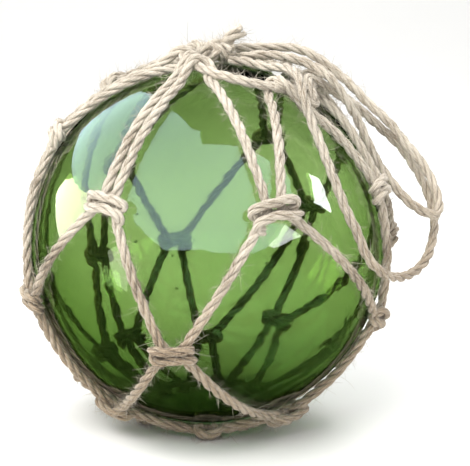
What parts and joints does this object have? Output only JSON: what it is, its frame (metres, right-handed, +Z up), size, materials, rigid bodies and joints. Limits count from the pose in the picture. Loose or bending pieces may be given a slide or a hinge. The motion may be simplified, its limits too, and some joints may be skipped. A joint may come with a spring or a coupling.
{
  "type": "glass float ball",
  "caption": "Hollow green blown-glass fishing float in a knotted net of natural laid cord, with a drawstring and hanging loops.",
  "frame": {"origin": "on the ground under the middle of the ball in its net, hanging loops left out", "axes": "+Z up; -Y is the front; +X is the side on which the hanging loops lie"},
  "size_m": [0.2382, 0.2128, 0.2301],
  "materials": {
    "green_glass": "clear green blown glass, glossy, with seeds and faint ripples",
    "net_cord": "three-strand laid natural fibre cord, hairy, greyed on top and tan in the shade",
    "drawstring_cord": "three-strand laid natural fibre cord, hairy, bleached grey-beige",
    "loop_cord": "three-strand laid natural fibre cord, hairy, bleached grey-beige"
  },
  "bodies": {
    "root": {"glass_ball": "green_glass", "rope_net": "net_cord", "drawstring": "drawstring_cord", "hanging_loop_outer": "loop_cord", "hanging_loop_inner": "loop_cord"}
  },
  "joints": []
}
